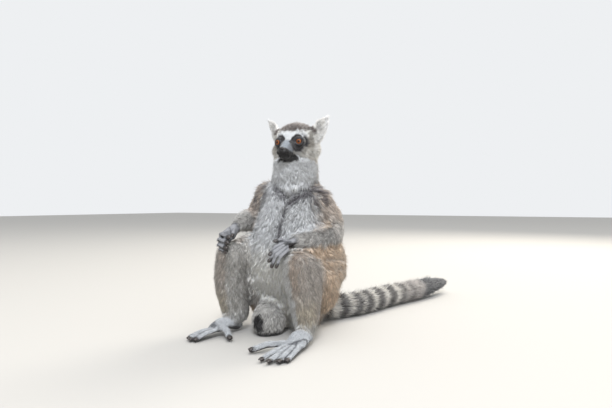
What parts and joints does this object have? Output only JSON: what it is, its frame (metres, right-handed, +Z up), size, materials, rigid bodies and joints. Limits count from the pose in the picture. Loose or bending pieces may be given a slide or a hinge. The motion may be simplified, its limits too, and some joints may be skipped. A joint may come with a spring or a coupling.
{
  "type": "ring-tailed lemur",
  "caption": "Still, life-size ring-tailed lemur, sitting upright on the ground with its hands on its knees and its ringed tail laid out behind it.",
  "frame": {"origin": "on the floor, on the flat under the rump", "axes": "+Z up, square to the floor; the animal faces -Y and its left side is +X; the tail runs back along +Y and a little to +X"},
  "size_m": [0.2686, 0.7143, 0.3792],
  "materials": {
    "coat_crown": "short dark grey fur on the crown, white brow, cheeks and throat, round black eye patches",
    "coat_white": "dense soft white fur",
    "coat_belly": "pale grey fur in front, brown grey with a rufous cast on the flanks and back",
    "coat_flank": "brown grey fur, matt",
    "coat_grey": "grizzled grey fur, matt",
    "coat_foot": "short whitish grey fur on the back of the foot, black pads",
    "coat_black": "long black fur in rings with white",
    "bare_skin": "dark bare skin with thin grey fur on the back of the hand",
    "eye": "wet, amber iris with a dark pupil"
  },
  "bodies": {
    "root": {"eye_left": "eye", "eye_right": "eye", "nose": "bare_skin", "head": "coat_crown", "trunk": "coat_belly", "neck": "coat_white", "ear_left": "coat_white", "ear_right": "coat_white", "foot_left": "coat_foot", "foot_right": "coat_foot", "shin_left": "coat_grey", "shin_right": "coat_grey", "thigh_left": "coat_flank", "thigh_right": "coat_flank", "perineum": "coat_white", "upper_arm_left": "coat_flank", "upper_arm_right": "coat_flank", "forearm_left": "coat_grey", "forearm_right": "coat_grey", "hand_left": "bare_skin", "hand_right": "bare_skin", "tail_1": "coat_black", "tail_2": "coat_white", "tail_3": "coat_black", "tail_4": "coat_white"}
  },
  "joints": []
}
